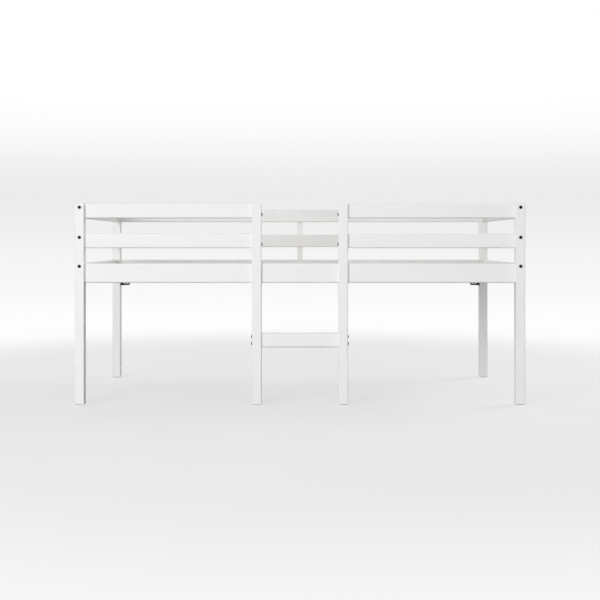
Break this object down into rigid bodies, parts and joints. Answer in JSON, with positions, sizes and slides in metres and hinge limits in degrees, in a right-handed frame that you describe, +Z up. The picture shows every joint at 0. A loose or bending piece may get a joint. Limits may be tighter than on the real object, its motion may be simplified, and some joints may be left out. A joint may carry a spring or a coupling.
{
  "type": "mid sleeper bed",
  "caption": "Mid-height sleeper bed frame in white painted wood, with square posts, board guard rails, a slatted base and a short fixed ladder in the middle of the front.",
  "frame": {"origin": "on the floor under the middle of the bed", "axes": "+X along the bed to the right as seen from the ladder side, +Y to the back (wall) side, +Z up"},
  "size_m": [2.07, 0.978, 0.928],
  "materials": {
    "white_paint": "satin white paint over pine",
    "bare_pine": "planed, unpainted",
    "black_steel": "black, semi-matt"
  },
  "bodies": {
    "root": {"back_centre_strut": "white_paint", "back_middle_rail": "white_paint", "back_side_rail": "white_paint", "back_top_rail": "white_paint", "end_rail_screws": "black_steel", "front_middle_rail_left": "white_paint", "front_middle_rail_right": "white_paint", "front_side_rail": "white_paint", "front_slat_ledger": "bare_pine", "front_top_rail_left": "white_paint", "front_top_rail_right": "white_paint", "ladder_rail_screws": "black_steel", "ladder_rung": "white_paint", "ladder_upright_left": "white_paint", "ladder_upright_right": "white_paint", "left_end_bottom_rail": "white_paint", "left_end_middle_rail": "white_paint", "left_end_top_rail": "white_paint", "post_front_left": "white_paint", "post_front_right": "white_paint", "post_rear_left": "white_paint", "post_rear_right": "white_paint", "rear_slat_ledger": "bare_pine", "right_end_bottom_rail": "white_paint", "right_end_middle_rail": "white_paint", "right_end_top_rail": "white_paint", "slat_01": "bare_pine", "slat_02": "bare_pine", "slat_03": "bare_pine", "slat_04": "bare_pine", "slat_05": "bare_pine", "slat_06": "bare_pine", "slat_07": "bare_pine", "slat_08": "bare_pine", "slat_09": "bare_pine", "slat_10": "bare_pine", "slat_11": "bare_pine", "slat_12": "bare_pine", "slat_13": "bare_pine", "slat_14": "bare_pine", "slat_15": "bare_pine", "wall_bracket_left": "black_steel", "wall_bracket_right": "black_steel"}
  },
  "joints": []
}
